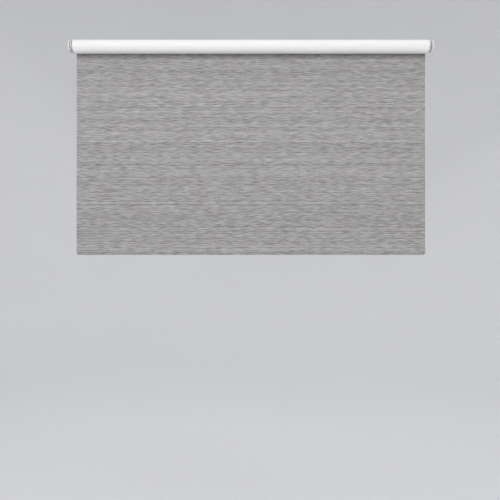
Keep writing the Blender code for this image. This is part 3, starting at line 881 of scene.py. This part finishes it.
class BLIND_OT_wound_cloth(Operator):
    """Wind the turns of cloth that lie under the outermost one"""

    bl_idname = "blind.wound_cloth"
    bl_label = "Wound cloth"

    def execute(self, context):
        scene = context.scene
        thick, roll = scene.blind_cloth.thickness, scene.blind_roll
        pitch = thick + roll.air
        outer = ROLL_R - 1.5 * thick - 2 * roll.air
        wound = grown("wound_cloth", wound_cloth_tree(), {
            "Turns": roll.turns, "Inner radius": outer - pitch * roll.turns,
            "Outer radius": outer, "Thickness": thick, "Width": 2 * CLOTH_HALF,
            "Start angle": (0, 0, pi / 2 - GROOVE_ANGLE),
            "Steps": 64, "Material": finishes()["coating"],
        })
        mesh = wound.data
        mesh.materials.append(finishes()["cut_edge"])
        for face in mesh.polygons:
            if abs(face.normal.x) > 0.5:
                face.material_index = 1
        mesh.set_sharp_from_angle(angle=radians(50))
        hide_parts("fabric_roll")
        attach(wound, "roll")
        return {"FINISHED"}


# Hem

STITCH_ROW = 0.9 * MM     # from the sleeve's top seam up to the upper row of stitches
THREAD = 0.36 * MM
HEM_CLEAR = 0.12 * MM     # between the cloth and what is in the sleeve
CAP_GAP = 0.3 * MM        # between the bar's end and the cap
# share of the cap's depth, and how much smaller in millimetres its outline is there
CAP_TAPER = ((0.0, 0.0), (0.2, 0.0), (0.4, 0.0), (0.6, 0.04), (0.8, 0.12), (0.93, 0.3), (1.0, 0.6))
OUTLINE_STEPS = 22
THIN_EDGE = 0.12 * MM    # least half thickness of the bar and caps


def bar_outline(x, thick, inset, raised):
    """Points (x, y, z) round the sleeve's inside, inset all round and raised at the bottom."""
    front, back = [], []
    for i in range(OUTLINE_STEPS + 1):
        share = BAR_TOP + (BAR_BOTTOM - BAR_TOP) * i / OUTLINE_STEPS
        half = sleeve_half(share, thick) - thick / 2 - inset
        ends = min(1.0, (share - BAR_TOP) / 0.05, (BAR_BOTTOM - share) / 0.04)
        half = max(THIN_EDGE, half * sqrt(max(0.0, 1 - (1 - ends) ** 2)))
        lift = raised * ease((share - 0.2) / 0.75)
        z = sleeve_z(share) + lift
        front.append((x, HEM_Y - half, z))
        back.append((x, HEM_Y + half, z))
    return front + back[::-1]


class BLIND_OT_hem(Operator):
    """Make the hem's stitching, end caps and weight bar"""

    bl_idname = "blind.hem"
    bl_label = "Hem"

    def execute(self, context):
        scene = context.scene
        hem, cloth = scene.blind_hem, scene.blind_cloth
        count = int(2 * (CLOTH_HALF - hem.corner - 2 * MM) / hem.stitch_pitch)
        start_x = -hem.stitch_pitch * (count - 1) / 2
        surface = cloth.thickness / 2 + THREAD * 0.12
        lower_y = HEM_Y - sleeve_half(LOWER_SEAM, cloth.thickness) - surface
        tree = stitch_line_tree()
        for name, y, z in (
            ("hem_top_stitching", HEM_Y - surface, HEM_HIGH.z + STITCH_ROW),
            ("hem_lower_stitching", lower_y, sleeve_z(LOWER_SEAM)),
        ):
            stitching = grown(name, tree, {
                "Count": count,
                "Start": (start_x, y, z),
                "Pitch": (hem.stitch_pitch, 0, 0),
                "Stitch size": (hem.stitch_length, THREAD, THREAD * 1.3),
                "Material": finishes()["thread"],
            })
            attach(stitching, "hem")

        thick = cloth.thickness
        bar_sections = [bar_outline(x, thick, HEM_CLEAR, 0.0) for x in (BAR_LOW.x, BAR_HIGH.x)]
        bar = add_piece("weight_bar_strip", loft(bar_sections), ("zinc",))
        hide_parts("weight_bar")
        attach(bar, "hem")
        for name, side in (("left_hem_cap", -1), ("right_hem_cap", 1)):
            start = BAR_HIGH.x + CAP_GAP
            depth = CLOTH_HALF - start
            sections = []
            for share, shrink in CAP_TAPER:
                x = start + depth * share
                inset, raised = HEM_CLEAR + shrink * MM, corner_rise(x, hem.corner) + shrink * MM
                sections.append(bar_outline(side * x, thick, inset, raised))
            cap = add_piece(name + "_moulding", loft(sections), ("abs",))
            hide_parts(name)
            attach(cap, "hem")
        return {"FINISHED"}


# Fittings

COVER_WALL, COVER_WEB = 0.6 * MM, 1.6 * MM
COVER_EDGE = 0.2 * MM
RING_INSET = 4 * MM       # from the cover's rim to the groove that rings its face
TANG_HALF = 1.5 * MM
TANG_CLEAR = 0.6 * MM
SLOT_TOP = 15.5 * MM
WINDOW_R = 3.9 * MM       # round hole in the right cover
FILLET_STEPS = 8
BUSH_EDGE = 0.1 * MM


def finished_copy(node, finish, body, edge):
    """A CAD node's shape, merged, smoothed and with its edges rounded."""
    bm = bmesh.new()
    bm.from_mesh(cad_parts[node].data)
    bmesh.ops.remove_doubles(bm, verts=bm.verts, dist=1e-6)
    bmesh.ops.dissolve_limit(
        bm, angle_limit=radians(0.5), verts=bm.verts, edges=bm.edges
    )
    mesh = bpy.data.meshes.new(node)
    bm.to_mesh(mesh)
    bm.free()
    copy = add_piece(node + "_finished", mesh, (finish,))
    soften_edges(copy, edge)
    copy.data.name = copy.name
    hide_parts(node)
    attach(copy, body)


class BLIND_OT_brackets(Operator):
    """Make the two bracket covers, plates and the bush"""

    bl_idname = "blind.brackets"
    bl_label = "Brackets"

    def execute(self, context):
        fittings = context.scene.blind_fittings
        for side, word in ((-1, "left"), (1, "right")):
            node = word + "_bracket_cover"
            low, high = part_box(node)
            face = max(abs(low.x), abs(high.x))
            web = min(abs(low.x), abs(high.x))
            radius = high.z
            wall, floor = COVER_WALL, COVER_WEB
            fillet = fittings.cover_fillet
            corner = [
                (
                    web + fillet * (1 - sin(pi / 2 * i / FILLET_STEPS)),
                    radius - fillet * (1 - cos(pi / 2 * i / FILLET_STEPS)),
                )
                for i in range(FILLET_STEPS + 1)
            ]
            ring = radius - RING_INSET
            groove = [
                (web, ring), (web + 0.25 * MM, ring - 0.3 * MM),
                (web + 0.25 * MM, ring - 0.8 * MM), (web, ring - 1.1 * MM),
            ]
            profile = [
                (face, radius - wall), (face - 0.15 * MM, radius - 0.1 * MM),
                (face - 0.35 * MM, radius), *corner, *groove, (web, 0), (web + floor, 0),
                (web + floor, radius - wall - 0.5 * MM), (web + floor + 0.5 * MM, radius - wall),
            ]
            profile.append(profile[0])
            cover = add_piece(
                node + "_moulding",
                turned([(side * x, r) for x, r in profile], 128, bored=False), ("abs",),
            )
            if side < 0:
                tang_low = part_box("spindle_tang")[0]
                half = TANG_HALF + TANG_CLEAR
                window = box_mesh(
                    (-web - 2 * floor, -half, tang_low.z - 0.3 * MM), (-web + floor, half, SLOT_TOP)
                )
            else:
                window = turned(
                    [(web - floor, 0), (web - floor, WINDOW_R), (web + 2 * floor, WINDOW_R),
                     (web + 2 * floor, 0)], 48, bored=False,
                )
            change_shape(cover, window, "DIFFERENCE")
            soften_edges(cover, COVER_EDGE)
            cover.data.name = cover.name
            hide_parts(node)
            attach(cover, "brackets")
            edge = fittings.edge_radius
            finished_copy(word + "_bracket_plate", "powder", "brackets", edge)
        finished_copy("right_bracket_bush", "nylon", "brackets", BUSH_EDGE)
        return {"FINISHED"}


# node: (finish, material slot)
SPINDLE_FINISHES = {
    "spindle_tang": ("zinc", "zinc_steel"),
    "spindle_rod": ("zinc", "zinc_steel"),
    "spindle_cross_pin": ("zinc", "zinc_steel"),
    "ratchet_wheel": ("zinc", "zinc_steel"),
    "spring_anchor": ("nylon", "grey_nylon"),
    "spindle_clip": ("spring", "spring_steel"),
}
ROLL_FINISHES = {
    "roller_tube": ("aluminium", "mill_aluminium"),
    "fabric_spline": ("pvc", "clear_pvc"),
    "spring_end_cap": ("abs", "white_abs"),
    "cap_bush": ("nylon", "grey_nylon"),
    "pawl_cover": ("zinc", "zinc_steel"),
    "pawl_pin_a": ("zinc", "zinc_steel"),
    "pawl_pin_b": ("zinc", "zinc_steel"),
    "spring_drive_plug": ("nylon", "grey_nylon"),
    "spindle_bearing": ("abs", "white_abs"),
    "idle_plug": ("abs", "white_abs"),
    "pin_retainer": ("nylon", "grey_nylon"),
}


class BLIND_OT_spindle(Operator):
    """Finish the still spindle, its tang, wheel and anchor"""

    bl_idname = "blind.spindle"
    bl_label = "Spindle"

    def execute(self, context):
        edge = context.scene.blind_fittings.edge_radius
        for node, (finish, slot) in SPINDLE_FINISHES.items():
            finished_copy(node, finish, "brackets", edge)
        return {"FINISHED"}


class BLIND_OT_tube(Operator):
    """Finish the tube and the plugs, caps and pins that turn with it"""

    bl_idname = "blind.tube"
    bl_label = "Tube and plugs"

    def execute(self, context):
        edge = context.scene.blind_fittings.edge_radius
        for node, (finish, slot) in ROLL_FINISHES.items():
            finished_copy(node, finish, "roll", edge)
        for name in ("pawl_a", "pawl_b", "idle_pin"):
            finished_copy(name, "zinc", name, edge)
        return {"FINISHED"}


LIFT_WIRE_R, PIN_WIRE_R = 0.85 * MM, 0.4 * MM


class BLIND_OT_springs(Operator):
    """Wind the lift spring and the idle pin's spring"""

    bl_idname = "blind.springs"
    bl_label = "Springs"

    def execute(self, context):
        fittings = context.scene.blind_fittings
        tree = wound_wire_tree()
        for node, turns, wire, steps, sides in (
            ("torsion_spring", fittings.lift_spring_turns, LIFT_WIRE_R, 20, 8),
            ("idle_pin_spring", fittings.pin_spring_turns, PIN_WIRE_R, 28, 10),
        ):
            low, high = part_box(node)
            spring = grown(node + "_coils", tree, {
                "Turns": float(turns), "Radius": high.z - wire, "Wire radius": wire,
                "Length": high.x - low.x - 2 * wire, "Start": (low.x + wire, 0, 0),
                "Steps": steps, "Sides": sides, "Material": finishes()["spring"],
            })
            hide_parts(node)
            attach(spring, "roll")
            if node == "idle_pin_spring":
                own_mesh(spring)
        return {"FINISHED"}


# Stage

BACKDROP_R, SWEEP_R, BACKDROP_TOP = 6.0, 2.6, 8.0
SWEEP_STEPS = 16
# name, place, target, size, power in watts, linear colour
SOFTBOXES = (
    ("front_softbox", (-0.5, -4.2, 0.9), (0, 0, -0.3), (4.2, 2.6), 105, (1.0, 0.997, 0.992)),
    ("top_softbox", (0.3, -1.2, 3.6), (0, 0, -0.3), (3.5, 3.0), 34, (0.985, 0.99, 1.0)),
    ("back_softbox", (0.6, 4.6, 2.2), (0, 0, -0.6), (4.0, 2.4), 36, (0.99, 0.995, 1.0)),
)
SKY_COLOUR, SKY_STRENGTH = (0.95, 0.97, 1.0, 1), 0.42
CAMERA_SHIFT = (-0.0018, -0.007)    # of the frame's width


def softbox(name, place, target, size, power, colour):
    """A rectangular area light that points at its target."""
    light = bpy.data.lights.new(name, "AREA")
    light.shape = "RECTANGLE"
    light.size, light.size_y = size
    light.energy = power
    light.color = colour
    made = bpy.data.objects.new(name, light)
    made.location = place
    made.rotation_euler = (Vector(target) - Vector(place)).to_track_quat("-Z", "Y").to_euler()
    bpy.context.scene.collection.objects.link(made)


class BLIND_OT_stage(Operator):
    """Set up the backdrop, the lights and the camera"""

    bl_idname = "blind.stage"
    bl_label = "Stage"

    def execute(self, context):
        scene = context.scene
        stage = scene.blind_stage
        radius, sweep = BACKDROP_R, SWEEP_R
        floor = stage.floor_height
        profile = [(0.0, floor), (radius - sweep, floor)]
        for i in range(1, SWEEP_STEPS + 1):
            turn = pi / 2 * i / SWEEP_STEPS
            profile.append(
                (radius - sweep + sweep * sin(turn), floor + sweep * (1 - cos(turn)))
            )
        profile.append((radius, BACKDROP_TOP))
        bm = bmesh.new()
        verts = [bm.verts.new((r, 0, z)) for r, z in profile]
        edges = [bm.edges.new(pair) for pair in zip(verts, verts[1:])]
        bmesh.ops.spin(
            bm, geom=verts + edges, cent=(0, 0, 0), axis=(0, 0, 1), angle=tau, steps=96
        )
        bmesh.ops.remove_doubles(bm, verts=bm.verts, dist=1e-5)
        bmesh.ops.recalc_face_normals(bm, faces=bm.faces)
        mesh = bpy.data.meshes.new("backdrop")
        bm.to_mesh(mesh)
        bm.free()
        mesh.shade_smooth()
        paint, tree, shader = new_material("Backdrop, matt emulsion paint", Roughness=0.95)
        shade = tuple(stage.backdrop)
        colour = tones(tree, noise(tree, (0.9, 0.9, 0.9), 1.0), (
            (0.3, scaled_colour(shade, 0.99)), (0.7, shade),
        ))
        tree.links.new(colour, shader.inputs["Base Color"])
        mesh.materials.append(paint)
        backdrop = bpy.data.objects.new("backdrop", mesh)
        scene.collection.objects.link(backdrop)

        for light in SOFTBOXES:
            softbox(*light)
        world = bpy.data.worlds.new("Even sky")
        world.use_nodes = True
        background = world.node_tree.nodes["Background"]
        background.inputs["Color"].default_value = SKY_COLOUR
        background.inputs["Strength"].default_value = SKY_STRENGTH
        scene.world = world
        scene.view_settings.view_transform = "Standard"

        camera = bpy.data.cameras.new("camera")
        camera.lens = stage.lens
        camera.sensor_width = 36
        camera.shift_x, camera.shift_y = CAMERA_SHIFT
        viewer = bpy.data.objects.new("camera", camera)
        viewer.location = (0, -stage.camera_distance, stage.camera_height)
        viewer.rotation_euler = (pi / 2, 0, 0)
        scene.collection.objects.link(viewer)
        scene.camera = viewer
        return {"FINISHED"}


STEPS = (
    BLIND_OT_stage,
    BLIND_OT_wound_cloth,
    BLIND_OT_hem,
    BLIND_OT_cloth,
    BLIND_OT_brackets,
    BLIND_OT_spindle,
    BLIND_OT_tube,
    BLIND_OT_springs,
)


class BLIND_PT_panel(Panel):
    """Lists the blind's steps in the order they are run"""

    bl_label = "Roller blind"
    bl_idname = "BLIND_PT_panel"
    bl_space_type = "VIEW_3D"
    bl_region_type = "UI"
    bl_category = "Blind"

    def draw(self, context):
        for step in STEPS:
            self.layout.operator(step.bl_idname)


SETTINGS = {
    "blind_cloth": BlindClothSettings,
    "blind_roll": BlindRollSettings,
    "blind_hem": BlindHemSettings,
    "blind_fittings": BlindFittingSettings,
    "blind_stage": BlindStageSettings,
}
CLASSES = (*SETTINGS.values(), *STEPS, BLIND_PT_panel)


def register():
    for item in CLASSES:
        bpy.utils.register_class(item)
    for name, group in SETTINGS.items():
        setattr(bpy.types.Scene, name, PointerProperty(type=group))


def unregister():
    for name in SETTINGS:
        delattr(bpy.types.Scene, name)
    for item in reversed(CLASSES):
        bpy.utils.unregister_class(item)


def main():
    register()
    for step in STEPS:
        group, name = step.bl_idname.split(".")
        getattr(getattr(bpy.ops, group), name)()


if __name__ == "__main__":
    main()
